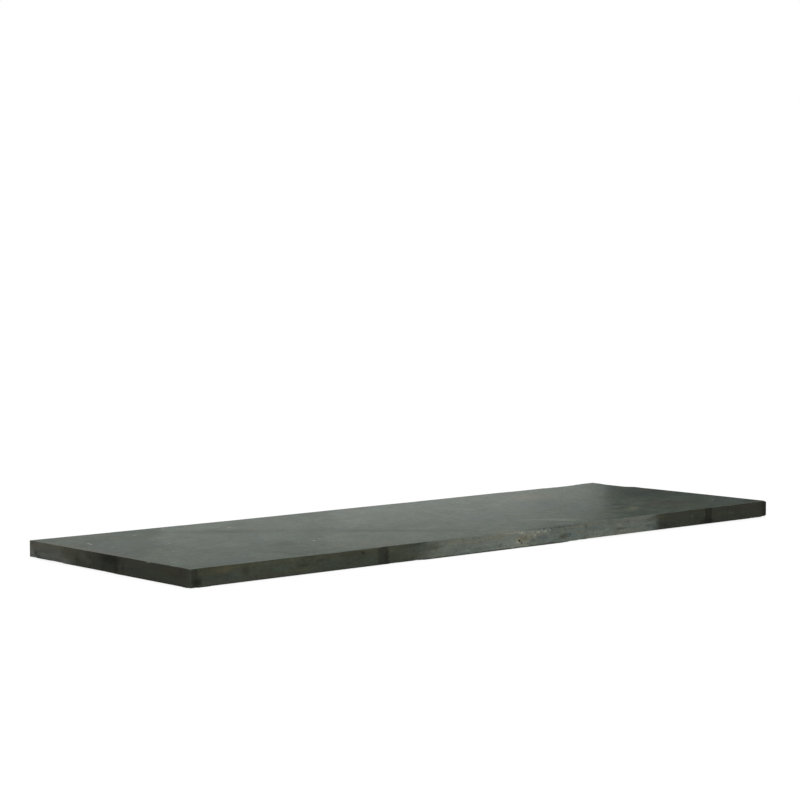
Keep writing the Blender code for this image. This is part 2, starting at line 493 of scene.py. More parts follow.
def painted(tree, place, tone, marks, breakup=None):
    """Paints marks over a tone, in order. A breakup thins every mark where it is low."""
    for mark in marks:
        oval = add_node(
            tree, "Mapping",
            {"Vector": place,
             "Location": (mark.x * MM, mark.y * MM, mark.z * MM),
             "Rotation": (0.0, 0.0, radians(mark.turn)),
             "Scale": (mark.half_long * MM, mark.half_wide * MM, mark.half_high * MM)},
            vector_type="TEXTURE",
        )
        # One at the middle of the oval, and nought at its rim and beyond.
        inside = add_node(tree, "TexGradient", {"Vector": oval.outputs[0]}, gradient_type="SPHERICAL")
        fading = Ramp(0.0, mark.fade, 0.0, mark.strength)
        tone = tinted(tree, tone, inside.outputs["Fac"], fading, mark.tint, thinning=breakup)
    return tone


# A warp pushes places about: by noise of this size, and by up to half this amount, in millimetres.
Warp = namedtuple("Warp", "size amount")
WARP_DETAIL = 2.0


def warped(tree, place, warp):
    """The place pushed about by noise, so that what is painted on it has an uneven outline."""
    cells = add_node(
        tree, "Mapping", {"Vector": place, "Scale": (warp.size * MM,) * 3},
        vector_type="TEXTURE",
    )
    lumps = add_node(tree, "TexNoise", {"Vector": cells.outputs[0], "Scale": 1.0, "Detail": WARP_DETAIL})
    middled = add_node(
        tree, "VectorMath", {0: lumps.outputs["Color"], 1: (NOISE_MIDDLE,) * 3},
        operation="SUBTRACT",
    )
    pushed = add_node(
        tree, "VectorMath", {0: middled.outputs[0], 1: (warp.amount * MM,) * 3, 2: place},
        operation="MULTIPLY_ADD",
    )
    return pushed.outputs[0]


# A scatter is a fall of scratches or specks, one at most in a cell: the cell's size in millimetres, its turn
# in degrees, how much of it one fills, the share of cells that hold one, and its strength and colour.
Scatter = namedtuple("Scatter", "long wide turn fill share strength tint")
# Of the cells that hold one, the part that holds a faint one, and the middle part of one that is solid.
FAINT_SHARE = 0.4
SOLID_SHARE = 0.4


def scattered(tree, place, tone, scatters):
    for fall in scatters:
        cells = add_node(
            tree, "Mapping",
            {"Vector": place,
             "Rotation": (0.0, 0.0, radians(fall.turn)),
             "Scale": (fall.long * MM, fall.wide * MM, fall.wide * MM)},
            vector_type="TEXTURE",
        )
        cell = add_node(tree, "TexVoronoi", {"Vector": cells.outputs[0], "Scale": 1.0})
        parts = add_node(tree, "SeparateColor", {0: cell.outputs["Color"]})
        choice = Ramp(1.0 - fall.share, 1.0 - fall.share * (1.0 - FAINT_SHARE), 0.0, 1.0)
        chosen = add_node(tree, "MapRange", ramp_joins(parts.outputs[0], choice), **SMOOTH).outputs[0]
        fading = Ramp(fall.fill * SOLID_SHARE, fall.fill, fall.strength, 0.0)
        tone = tinted(tree, tone, cell.outputs["Distance"], fading, fall.tint, thinning=chosen)
    return tone


SLATE_IOR = 1.52
CRUSHED_EDGE = "#5f665b"
BREAK_DARK = "#3f463d"
BREAK_LIGHT = "#7b8276"
BREAK_ROUGHNESS = 0.85
# Crumbs are about 3 mm across, and the crushed line comes and goes every few centimetres.
CRUMB_LAYER = Layer(3.0, 3.0, 3.0, 0.0, 3.0)
CRUMB_WEIGHT = 0.8
BREAK_RAMP = Ramp(0.75, 1.0, 0.0, 0.65)
CRUSHED_LAYER = Layer(26.0, 26.0, 26.0, 0.0, 4.0)
CRUSHED_WEIGHT = 1.7
CRUSHED_RAMP = Ramp(1.55, 2.1, 0.0, 0.3)


def with_breaks(tree, place, tone, roughness):
    """Fresh grey-green stone in the chips and nicks, and a thin crushed line along each arris."""
    crumbs = pattern(tree, place, CRUMB_LAYER)
    inside = add_node(tree, "Attribute", attribute_name="broken").outputs["Fac"]
    uneven = add_node(tree, "Math", {0: crumbs, 1: CRUMB_WEIGHT, 2: inside}, operation="MULTIPLY_ADD")
    edge = add_node(tree, "Attribute", attribute_name="edge").outputs["Fac"]
    patchy = pattern(tree, place, CRUSHED_LAYER)
    crushed = add_node(tree, "Math", {0: patchy, 1: CRUSHED_WEIGHT, 2: edge}, operation="MULTIPLY_ADD")
    tone = tinted(tree, tone, crushed.outputs[0], CRUSHED_RAMP, CRUSHED_EDGE)
    share = add_node(tree, "MapRange", ramp_joins(uneven.outputs[0], BREAK_RAMP), **SMOOTH).outputs[0]
    fresh = add_node(
        tree, "Mix", {0: crumbs, 6: colour(BREAK_DARK), 7: colour(BREAK_LIGHT)},
        data_type="RGBA",
    )
    broken_tone = add_node(tree, "Mix", {0: share, 6: tone, 7: fresh.outputs[2]}, data_type="RGBA")
    broken_roughness = add_node(tree, "Mix", {0: share, 2: roughness, 3: BREAK_ROUGHNESS}, data_type="FLOAT")
    return broken_tone.outputs[2], broken_roughness.outputs[0]


def finish_surface(tree, surface, tone, roughness, height, depth, specular):
    """Gives the shader its colour, its roughness and a relief of that depth in millimetres."""
    relief = add_node(tree, "Bump", {"Height": height, "Distance": depth * MM, "Strength": 1.0})
    for name, source in (("Base Color", tone), ("Roughness", roughness), ("Normal", relief.outputs[0])):
        tree.links.new(source, surface.inputs[name])
    surface.inputs["IOR"].default_value = SLATE_IOR
    surface.inputs["Specular IOR Level"].default_value = specular


# Laid on by the Soft Light blend, so that neighbouring stone differs a little in hue.
WARM_TINT = "#cfc0a2"
COOL_TINT = "#a9bac0"

CLEFT_DARK = "#1c221b"
CLEFT_LIGHT = "#4a564a"
CLEFT_BLUE = "#363f3e"
CLEFT_OCHRE = "#494a3a"
# The grey of the painted shade laid on the dull bands.
CLEFT_DULL_SHADE = "#2a2a2a"
CLEFT_SHARE = 0.375
CLEFT_SPECULAR = 0.35
CLEFT_BUMP = 0.05
# Broad clouds, slanting smears, mottling and two sizes of grain. Slate's own grain is far under a
# millimetre, so it is drawn as coarse as it needs to show.
CLEFT_LAYERS = (
    Layer(150.0, 120.0, 120.0, 0.0, 2.0, 0.42),
    Layer(90.0, 36.0, 36.0, radians(27.0), 3.0, 0.36),
    Layer(44.0, 36.0, 36.0, 0.0, 3.0, 0.60),
    Layer(17.0, 13.0, 13.0, radians(8.0), 2.0, 0.62),
    Layer(5.5, 4.5, 4.5, radians(8.0), 2.0, 0.75),
)
DRIFT_LAYER = Layer(260.0, 170.0, 170.0, radians(20.0), 2.0)
DRIFT_TO_BLUE = Ramp(0.5, 0.75, 0.0, 0.45)
DRIFT_TO_OCHRE = Ramp(0.45, 0.25, 0.0, 0.3)
HUE_LAYER = Layer(38.0, 26.0, 26.0, radians(15.0), 2.0)
HUE_TO_WARM = Ramp(0.5, 0.72, 0.0, 0.55)
HUE_TO_COOL = Ramp(0.5, 0.28, 0.0, 0.55)
# The low leaves of the bed, a few centimetres across, and the grain on them, drawn coarse enough to show.
CLEFT_RELIEF = (
    Layer(24.0, 19.0, 19.0, 0.0, 3.0, 1.0),
    Layer(6.0, 5.0, 5.0, 0.0, 2.0, 0.5),
)
# The sheen varies a little from leaf to leaf, and more with the grain.
SATIN_LAYERS = (
    Layer(120.0, 90.0, 90.0, 0.0, 2.0, 0.25),
    Layer(16.0, 12.0, 12.0, 0.0, 3.0, 0.45),
    Layer(5.0, 4.0, 4.0, 0.0, 2.0, 0.60),
)
SATIN_ROUGHNESS = Ramp(0.25, 0.75, 0.36, 0.47)
CLEFT_LIGHT_CLOUD = "#505b4e"
CLEFT_DARK_CLOUD = "#21261e"
CLOUD_WARP = Warp(45.0, 40.0)
TOP_MARK_WARP = Warp(18.0, 14.0)
TOP_SPECK_WARP = Warp(4.0, 2.0)
# How far a mark reaches into the stone, either way from its own face.
MARK_REACH = 60.0


def top_mark(x, y, half_long, half_wide, turn, fade, strength, tint):
    return Mark(x, y, THICKNESS, half_long, half_wide, MARK_REACH, turn, fade, strength, tint)


TOP_CLOUDS = (
    top_mark(-544, 122, 62, 22, 25, 1.0, 0.5, CLEFT_LIGHT_CLOUD),
    top_mark(-367, 151, 40, 16, 20, 1.0, 0.45, CLEFT_LIGHT_CLOUD),
    top_mark(-152, 151, 52, 26, 25, 1.0, 0.4, CLEFT_LIGHT_CLOUD),
    top_mark(-90, 87, 80, 30, 15, 1.0, 0.4, CLEFT_LIGHT_CLOUD),
    top_mark(-391, -16, 76, 24, 30, 1.0, 0.45, CLEFT_LIGHT_CLOUD),
    top_mark(-511, -55, 62, 27, 30, 1.0, 0.5, CLEFT_LIGHT_CLOUD),
    top_mark(-721, -80, 54, 20, 25, 1.0, 0.45, CLEFT_LIGHT_CLOUD),
    top_mark(-190, -169, 62, 30, 20, 1.0, 0.45, CLEFT_LIGHT_CLOUD),
    top_mark(-295, -70, 54, 17, 15, 1.0, 0.4, CLEFT_LIGHT_CLOUD),
    top_mark(-66, -95, 36, 20, 25, 1.0, 0.45, CLEFT_LIGHT_CLOUD),
    top_mark(277, 87, 66, 24, 12, 1.0, 0.4, CLEFT_LIGHT_CLOUD),
    top_mark(450, -100, 44, 22, 10, 1.0, 0.4, CLEFT_LIGHT_CLOUD),
    top_mark(526, -95, 52, 19, 25, 1.0, 0.4, CLEFT_LIGHT_CLOUD),
    top_mark(258, -129, 42, 14, 10, 1.0, 0.4, CLEFT_LIGHT_CLOUD),
    top_mark(-319, 186, 90, 36, 15, 1.0, 0.4, CLEFT_DARK_CLOUD),
    top_mark(-606, 18, 62, 28, 20, 1.0, 0.4, CLEFT_DARK_CLOUD),
    top_mark(287, 156, 110, 48, 15, 1.0, 0.4, CLEFT_DARK_CLOUD),
    top_mark(407, 58, 52, 30, 25, 1.0, 0.35, CLEFT_DARK_CLOUD),
    top_mark(86, -95, 56, 27, 15, 1.0, 0.4, CLEFT_DARK_CLOUD),
    top_mark(670, 33, 66, 32, 20, 1.0, 0.35, CLEFT_DARK_CLOUD),
    top_mark(690, 30, 120, 130, 0.0, 1.0, 0.5, CLEFT_DARK_CLOUD),
)
TOP_MARKS = (
    top_mark(202, -192, 44, 24, -41, 1.0, 0.42, "#737a69"),
    top_mark(168, -156, 54, 11, -44, 0.9, 0.55, "#6a7163"),
    top_mark(440, -152, 58, 16, 34, 1.0, 0.5, "#666450"),
    top_mark(432, 140, 36, 7, -36, 0.9, 0.4, "#655a40"),
    top_mark(430, 140, 120, 66, 10, 1.0, 0.45, "#544c3c"),
    top_mark(-746, 60, 24, 190, 0.0, 0.9, 0.45, "#4b3f36"),
    top_mark(590, -140, 120, 76, 10, 1.0, 0.4, "#2b281f"),
    top_mark(605, -220, 34, 16, 10, 0.9, 0.5, "#20251f"),
    top_mark(-605, -212, 40, 18, 12, 0.9, 0.5, "#20251f"),
    top_mark(468, -83, 36, 24, 30, 1.0, 0.6, "#1b1e17"),
    top_mark(536, -127, 66, 22, 35, 1.0, 0.4, "#4a443a"),
    top_mark(640, 20, 70, 44, 20, 1.0, 0.4, "#1f2a29"),
    top_mark(-518, 200, 9, 3, 20, 0.7, 0.5, "#6d4f45"),
)
# Bands where the sheen is duller, painted as white on black: a mask, not a colour. The mask roughens the
# face there, and also greys its colour a little as painted shade for the weaker sheen.
DULLED_AND_SHADED = "#ffffff"
SHINY = "#000000"
DULL_ROUGHNESS = 0.10
DULL_SHADE_STRENGTH = 0.3
DULL_SHADED_BANDS = (
    top_mark(-414, 122, 165, 44, -33, 0.9, 0.7, DULLED_AND_SHADED),
    top_mark(-160, -85, 220, 36, -43, 1.0, 0.68, DULLED_AND_SHADED),
    top_mark(-60, -50, 130, 60, -20, 1.0, 0.32, DULLED_AND_SHADED),
    top_mark(-440, -100, 90, 24, 40, 1.0, 0.5, DULLED_AND_SHADED),
)
TOP_SPECKS = (
    top_mark(-363, -99, 7, 6, 0.0, 0.8, 0.3, "#6e4a2e"),
    top_mark(-363, -99, 4.4, 3.6, 0.0, 0.6, 0.75, "#c4c4b4"),
    top_mark(-397, -97, 6, 5, 0.0, 0.8, 0.2, "#6e4a2e"),
    top_mark(-397, -97, 3.6, 3, 0.0, 0.6, 0.6, "#b0b0a0"),
    top_mark(-341, -88, 3.2, 2.6, 0.0, 0.6, 0.8, "#a9ac9f"),
    top_mark(-316, -83, 3.4, 2.6, 0.0, 0.6, 0.8, "#a9ac9f"),
    top_mark(-292, -92, 3, 2.4, 0.0, 0.6, 0.7, "#a9ac9f"),
    top_mark(-360, 162, 7, 3, 30, 0.6, 0.6, "#8b9084"),
    top_mark(-565, 181, 9, 3, 40, 0.6, 0.5, "#8b9084"),
    top_mark(-692, 143, 5, 3.5, 10, 0.6, 0.8, "#a9ac9f"),
    top_mark(-698, 126, 5, 3.2, 60, 0.6, 0.8, "#a9ac9f"),
    top_mark(-687, 73, 7, 3, 20, 0.6, 0.35, "#9fa295"),
    top_mark(-643, -52, 4, 3, 0.0, 0.6, 0.4, "#9fa295"),
    top_mark(-720, -163, 16, 1.8, 0.0, 0.6, 0.6, "#9fa295"),
    top_mark(-470, 225, 8, 3, 15, 0.6, 0.6, "#9fa295"),
    top_mark(245, -20, 4, 3, 0.0, 0.6, 0.6, "#9fa295"),
    top_mark(687, -155, 4.5, 3.5, 0.0, 0.6, 0.7, "#a9ac9f"),
    top_mark(623, 63, 4.5, 3.5, 0.0, 0.6, 0.7, "#8a7a45"),
    top_mark(733, 232, 4.5, 3.5, 0.0, 0.6, 0.7, "#8a9b85"),
    top_mark(-640, -8, 2.6, 2.2, 0.0, 0.6, 0.6, "#9fa295"),
    top_mark(-607, 8, 2.6, 2.2, 0.0, 0.6, 0.6, "#9fa295"),
    top_mark(-606, -14, 2.6, 2.2, 0.0, 0.6, 0.6, "#9fa295"),
    top_mark(-610, 42, 15, 1.5, 84, 0.6, 0.5, "#8b9084"),
    top_mark(-596, 38, 13, 1.4, 86, 0.6, 0.4, "#8b9084"),
    top_mark(-584, 44, 16, 1.5, 82, 0.6, 0.5, "#8b9084"),
    top_mark(-566, 36, 12, 1.4, 85, 0.6, 0.4, "#8b9084"),
    top_mark(15, 12, 28, 1.7, 3, 0.7, 0.5, "#8b9084"),
    top_mark(27, -18, 9, 1.7, 0.0, 0.6, 0.5, "#8b9084"),
    top_mark(-25, -50, 11, 1.7, 8, 0.6, 0.5, "#8b9084"),
    top_mark(62, 5, 18, 1.7, -4, 0.6, 0.5, "#8b9084"),
    top_mark(90, -12, 6, 1.7, 0.0, 0.6, 0.5, "#8b9084"),
    top_mark(662, -68, 26, 1.6, 88, 0.7, 0.35, "#7d8277"),
    top_mark(669, -74, 20, 1.6, 92, 0.7, 0.3, "#7d8277"),
)


# Scratches three ways, grit and rust spots, drawn wider than real ones are, so that they show.
TOP_SCATTERS = (
    Scatter(16.0, 2.6, 7.0, 0.34, 0.012, 0.3, "#8b9084"),
    Scatter(16.0, 2.6, 78.0, 0.34, 0.006, 0.3, "#8b9084"),
    Scatter(16.0, 2.6, -32.0, 0.34, 0.006, 0.3, "#8b9084"),
    Scatter(7.0, 7.0, 0.0, 0.26, 0.010, 0.45, "#9a9d90"),
    Scatter(9.0, 9.0, 0.0, 0.24, 0.004, 0.5, "#6b5233"),
)


def cleft_slate():
    """Slate split along its bed: soft clouds, a fine grain, and a satin sheen that shows at a low angle."""
    material, tree, surface = new_material("cleft slate")
    place = add_node(tree, "TexCoord").outputs["Object"]
    share = stacked(tree, place, CLEFT_LAYERS, CLEFT_SHARE)
    clouds = add_node(
        tree, "Mix", {0: share, 6: colour(CLEFT_DARK), 7: colour(CLEFT_LIGHT)},
        data_type="RGBA",
    )
    drift = pattern(tree, place, DRIFT_LAYER)
    tone = tinted(tree, clouds.outputs[2], drift, DRIFT_TO_BLUE, CLEFT_BLUE)
    tone = tinted(tree, tone, drift, DRIFT_TO_OCHRE, CLEFT_OCHRE)
    hue = pattern(tree, place, HUE_LAYER)
    tone = tinted(tree, tone, hue, HUE_TO_WARM, WARM_TINT, "SOFT_LIGHT")
    tone = tinted(tree, tone, hue, HUE_TO_COOL, COOL_TINT, "SOFT_LIGHT")
    softly = warped(tree, place, CLOUD_WARP)
    tone = painted(tree, softly, tone, TOP_CLOUDS)
    tone = painted(tree, warped(tree, place, TOP_MARK_WARP), tone, TOP_MARKS)
    tone = painted(tree, warped(tree, place, TOP_SPECK_WARP), tone, TOP_SPECKS)
    tone = scattered(tree, place, tone, TOP_SCATTERS)
    height = stacked(tree, place, CLEFT_RELIEF, NOISE_MIDDLE)
    dull_and_shade = painted(tree, softly, colour(SHINY), DULL_SHADED_BANDS)
    satin = stacked(tree, place, SATIN_LAYERS, NOISE_MIDDLE)
    sheen = add_node(tree, "MapRange", ramp_joins(satin, SATIN_ROUGHNESS), **SMOOTH)
    duller = add_node(
        tree, "Math", {0: dull_and_shade, 1: DULL_ROUGHNESS, 2: sheen.outputs[0]},
        operation="MULTIPLY_ADD",
    )
    # Painted shade: the dull bands' colour is greyed a little, to show their weaker sheen.
    dull_shade_share = add_node(tree, "Math", {0: dull_and_shade, 1: DULL_SHADE_STRENGTH}, operation="MULTIPLY")
    dull_shaded = add_node(
        tree, "Mix", {0: dull_shade_share.outputs[0], 6: tone, 7: colour(CLEFT_DULL_SHADE)},
        data_type="RGBA",
    )
    tone, roughness = with_breaks(tree, place, dull_shaded.outputs[2], duller.outputs[0])
    finish_surface(tree, surface, tone, roughness, height, CLEFT_BUMP, CLEFT_SPECULAR)
    return material


SAWN_DRY = "#3a4035"
SAWN_DAMP = "#22251d"
SAWN_OCHRE = "#4c4a36"
SAWN_PALE = "#636a62"
# The dark of the painted shade along the foot of each edge.
SAWN_RIM_SHADE = "#1b1c17"
SAWN_DUST = "#595a4e"
# What the grain is laid on with, by the Overlay blend: shares of light either side of a half, not colours.
GRAIN_LOW = (0.14, 0.14, 0.14, 1.0)
GRAIN_HIGH = (0.86, 0.86, 0.86, 1.0)
GRAIN_STRENGTH = 0.75
SAWN_SPECULAR = 0.2
SAWN_BUMP = 0.35
SAWN_ROUGHNESS = Ramp(0.3, 0.7, 0.72, 0.85)
# The bed's level lines, thin and thick, patches, blots, upright saw marks and grain. The real saw marks and
# grain are finer than a millimetre, and both are drawn as coarse as they need to show.
SAWN_LAYERS = (
    Layer(150.0, 150.0, 2.4, 0.0, 2.0, 0.40),
    Layer(70.0, 70.0, 10.0, 0.0, 3.0, 0.45),
    Layer(24.0, 24.0, 9.0, 0.0, 3.0, 0.55),
    Layer(9.0, 9.0, 5.0, 0.0, 3.0, 0.50),
    Layer(2.8, 2.8, 40.0, 0.0, 2.0, 0.20),
    Layer(3.4, 3.4, 2.6, 0.0, 2.0, 0.55),
)
# Level bed lines, saw marks and grain again, as low ridges, and as coarse for the same reason.
SAWN_RELIEF = (
    Layer(90.0, 90.0, 1.8, 0.0, 2.0, 0.8),
    Layer(3.4, 3.4, 70.0, 0.0, 1.0, 0.5),
    Layer(2.6, 2.6, 2.6, 0.0, 3.0, 0.8),
)
DAMP_LAYER = Layer(120.0, 120.0, 40.0, 0.9, 3.0)
DAMP_RAMP = Ramp(0.56, 0.66, 0.0, 0.7)
OCHRE_LAYER = Layer(210.0, 210.0, 60.0, 0.3, 3.0)
OCHRE_RAMP = Ramp(0.35, 0.6, 0.0, 0.4)
OCHRE_HEIGHT = Ramp(0.014, 0.030, 0.0, 1.0)
BED_LAYER = Layer(80.0, 80.0, 7.0, 0.0, 4.0)
BED_TO_WARM = Ramp(0.5, 0.7, 0.0, 0.32)
BED_TO_COOL = Ramp(0.5, 0.3, 0.0, 0.3)
CRUST_LAYER = Layer(3.2, 3.2, 2.4, 0.0, 2.0)
CRUST_RAMP = Ramp(0.36, 0.54, 0.15, 1.0)
# Painted shade: a dark rim along the foot of each edge, where it stands on the ground. Its ragged height
# is in metres, as the place is.
RIM_SHADE_LAYER = Layer(16.0, 16.0, 16.0, 0.0, 4.0)
RIM_SHADE_RAGGED = 0.006
RIM_SHADE_RAMP = Ramp(0.0042, 0.0066, 0.65, 0.0)
ZONE_WARP = Warp(11.0, 16.0)
SAWN_MARK_WARP = Warp(8.0, 11.0)
SAWN_SPOT_WARP = Warp(5.0, 7.0)
# Dust from the saw, drawn coarse enough to show.
SAWN_SCATTERS = (Scatter(4.4, 3.6, 0.0, 0.36, 0.30, 0.18, SAWN_DUST),)
FULL_HEIGHT = 200.0


def front_mark(x, z, half_long, half_high, fade, strength, tint):
    return Mark(x, -WIDTH / 2, z, half_long, MARK_REACH, half_high, 0.0, fade, strength, tint)


def left_mark(y, z, half_wide, half_high, fade, strength, tint):
    return Mark(-LENGTH / 2, y, z, MARK_REACH, half_wide, half_high, 0.0, fade, strength, tint)


FRONT_ZONES = (
    front_mark(-55, 17, 205, FULL_HEIGHT, 0.36, 1.0, SAWN_PALE),
    front_mark(232, 17, 184, FULL_HEIGHT, 0.18, 1.0, SAWN_PALE),
    front_mark(595, 17, 184, FULL_HEIGHT, 0.18, 0.8, "#292b22"),
)
FRONT_MARKS = (
    front_mark(-742, 15, 11, FULL_HEIGHT, 0.7, 0.6, "#1e2018"),
    front_mark(-735, 10, 16, 14, 0.9, 0.8, "#0e1305"),
    front_mark(-600, 5, 190, 8, 0.9, 0.22, "#4a413a"),
    front_mark(-680, 22, 22, 12, 0.9, 0.4, "#555443"),
    front_mark(-680, 27, 66, 9, 0.9, 0.45, "#4c4b38"),
    front_mark(-636, 20, 11, 13, 0.9, 0.5, "#26251c"),
    front_mark(-664, 16, 14, 8, 0.9, 0.35, "#444f4a"),
    front_mark(-560, 17, 22, 7, 0.9, 0.5, "#424f4a"),
    front_mark(-520, 11, 50, 8, 0.9, 0.35, "#4d4b38"),
    front_mark(-480, 30, 150, 9, 0.9, 0.4, "#45473a"),
    front_mark(-326, 17, 15, FULL_HEIGHT, 0.4, 0.75, "#24261e"),
    front_mark(-318, 11, 8, 17, 0.7, 0.6, "#171812"),
    front_mark(-262, 18, 30, 14, 0.9, 0.35, "#53524a"),
    front_mark(-203, 22, 42, 10, 0.9, 0.5, "#383a2e"),
    front_mark(-25, 17, 150, FULL_HEIGHT, 1.0, 0.32, "#8a8f86"),
    front_mark(230, 10, 62, 12, 1.0, 0.25, "#8a8f86"),
    front_mark(-130, 25, 95, 9, 0.9, 0.45, "#6b6a58"),
    front_mark(-45, 26, 46, 7, 0.9, 0.55, "#73715d"),
    front_mark(-75, 8, 60, 6, 0.9, 0.35, "#5c6c61"),
    front_mark(-35, 10, 6, 4, 0.9, 0.6, "#48534a"),
    front_mark(25, 17, 30, 12, 0.9, 0.5, "#7c7763"),
    front_mark(45, 26, 40, 8, 1.0, 0.3, "#9a9a8a"),
    front_mark(78, 14, 22, 8, 0.9, 0.6, "#4c575a"),
    front_mark(101, 3, 14, 4, 0.8, 0.6, "#2f3331"),
    front_mark(131, 26, 12, 5, 0.9, 0.4, "#7c7a60"),
    front_mark(162, 13, 15, 8, 0.9, 0.5, "#627076"),
    front_mark(190, 28, 70, 7, 0.9, 0.4, "#686759"),
    front_mark(262, 12, 20, 5, 0.9, 0.5, "#596767"),
    front_mark(322, 27, 86, 8, 0.9, 0.5, "#696a5e"),
    front_mark(310, 6, 66, 7, 0.9, 0.35, "#777462"),
    front_mark(380, 13, 18, 6, 0.9, 0.7, "#475152"),
    front_mark(380, 25, 26, 8, 0.9, 0.6, "#4c493a"),
    front_mark(462, 17, 64, FULL_HEIGHT, 0.7, 0.24, "#3a3d33"),
    front_mark(427, 10, 18, 9, 0.9, 0.5, "#191a14"),
    front_mark(470, 29, 40, 6, 0.9, 0.4, "#3b3a30"),
    front_mark(558, 7, 36, 10, 0.9, 0.85, "#16160c"),
    front_mark(562, 17, 11.5, FULL_HEIGHT, 0.25, 0.8, "#1c1b11"),
    front_mark(554, 18, 2.6, FULL_HEIGHT, 0.8, 0.6, "#0e0c06"),
    front_mark(570, 18, 2.6, FULL_HEIGHT, 0.8, 0.6, "#0e0c06"),
    front_mark(563, 8, 15, 11, 0.6, 0.8, "#0f100a"),
    front_mark(635, 18, 14, 6, 0.9, 0.5, "#3c4136"),
    front_mark(676, 26, 34, 8, 0.9, 0.5, "#38322b"),
    front_mark(744, 11, 18, FULL_HEIGHT, 0.8, 0.85, "#1c1b12"),
)
FRONT_SPOTS = (
    front_mark(-410, 19, 6, 4, 0.7, 0.4, "#2b2a21"),
    # Painted shade: the small pit at X -374 darkened inside.
    front_mark(-372.5, 25.2, 5.6, 3.6, 0.8, 0.6, "#1d1c16"),
    front_mark(2, 30, 38, 2.4, 0.8, 0.6, "#a19d88"),
    front_mark(23, 28, 12, 4, 0.8, 0.6, "#a29f8b"),
    front_mark(14, 14.7, 9.5, 8, 0.6, 0.8, "#9e9a86"),
    front_mark(30, 18, 12, 8, 0.8, 0.45, "#5a5c49"),
    front_mark(44, 6, 14, 5, 0.9, 0.35, "#3d4440"),
    # Painted shade: the deep pit at X 17 darkened inside and just below it.
    front_mark(16.6, 14, 4.2, 3.8, 0.5, 0.95, "#1d170d"),
    front_mark(20.5, 8.6, 3, 3.6, 0.6, 0.9, "#2a2115"),
    front_mark(48, 11, 16, 3.4, 0.8, 0.6, "#4c5553"),
    front_mark(56.5, 20.5, 4, 4.6, 0.8, 0.65, "#a5a99f"),
    front_mark(67, 27, 9, 3, 0.8, 0.65, "#a9aa9c"),
    front_mark(83, 26.5, 7, 4.6, 0.8, 0.65, "#a8a99c"),
    front_mark(97, 27.5, 5, 2.6, 0.8, 0.55, "#a0a292"),
    front_mark(41, 22, 1.4, 5, 0.7, 0.5, "#a3a697"),
    front_mark(47.5, 25, 1.4, 6, 0.7, 0.5, "#a3a697"),
    front_mark(53, 23, 1.4, 6.5, 0.7, 0.6, "#a8ab9e"),
    front_mark(62, 23, 1.4, 5, 0.7, 0.5, "#a3a697"),
    front_mark(70, 21, 1.4, 6, 0.7, 0.4, "#a3a697"),
    front_mark(76.5, 24, 1.4, 6.5, 0.7, 0.5, "#a3a697"),
    front_mark(88.5, 24, 1.4, 6, 0.7, 0.5, "#a3a697"),
    front_mark(94, 22, 1.4, 5, 0.7, 0.4, "#a3a697"),
    front_mark(75, 30, 3.4, 1.8, 0.7, 0.6, "#aaac9f"),
    front_mark(89, 30.5, 3.4, 1.6, 0.7, 0.5, "#aaac9f"),
    front_mark(134, 12.4, 16.5, 8, 0.8, 0.85, "#3d3825"),
    front_mark(150, 14.5, 11, 5.6, 0.8, 0.7, "#374043"),
    front_mark(197, 25.5, 3.8, 7, 0.7, 0.9, "#2c2e27"),
    front_mark(297, 14, 25, 3.2, 0.7, 0.8, "#3e3d31"),
    front_mark(511, 22, 5, 6, 0.7, 0.6, "#484a3f"),
    front_mark(505, 26, 4, 5, 0.7, 0.6, "#22211a"),
    front_mark(100, 31.6, 92, 1.4, 0.6, 0.7, "#2f3128"),
)
LEFT_ZONES = (
    left_mark(-85, 17, 245, FULL_HEIGHT, 0.5, 0.8, "#27281f"),
)
LEFT_MARKS = (
    left_mark(190, 17, 110, FULL_HEIGHT, 0.9, 0.4, "#575553"),
    left_mark(244, 13, 14, 16, 0.9, 0.4, "#7d7a73"),
    left_mark(130, 7, 28, 9, 0.9, 0.35, "#66625f"),
    left_mark(221, 25, 30, 11, 0.9, 0.45, "#5b574c"),
    left_mark(202, 11, 24, 8, 0.9, 0.45, "#5d5e56"),
    left_mark(160, 15, 30, 10, 0.9, 0.3, "#5a5957"),
    left_mark(118, 26, 36, 9, 0.9, 0.7, "#37342d"),
    left_mark(91, 12, 14, 14, 0.9, 0.7, "#26241e"),
    left_mark(56, 13, 20, 9, 0.9, 0.4, "#45463b"),
    left_mark(-8, 26, 52, 14, 0.9, 1.0, "#0f1006"),
    left_mark(-18, 25, 36, 12, 0.8, 0.9, "#0c1000"),
    left_mark(-16, 11, 30, 14, 0.9, 0.6, "#101303"),
    left_mark(8, 10, 18, 12, 0.9, 0.7, "#171910"),
    left_mark(-53, 15, 4, 20, 0.7, 0.6, "#15160f"),
    left_mark(-31, 12, 10, 18, 0.9, 0.9, "#0e0f03"),
    left_mark(72, 22, 22, 12, 0.9, 0.3, "#4b4d44"),
    left_mark(-205, 25, 50, 11, 0.9, 0.5, "#333021"),
)
LEFT_SPOTS = (
    left_mark(228, 11, 5.5, 4.5, 0.7, 0.9, "#22221b"),
    left_mark(220, 6.5, 5, 3.5, 0.7, 0.9, "#22221b"),
)


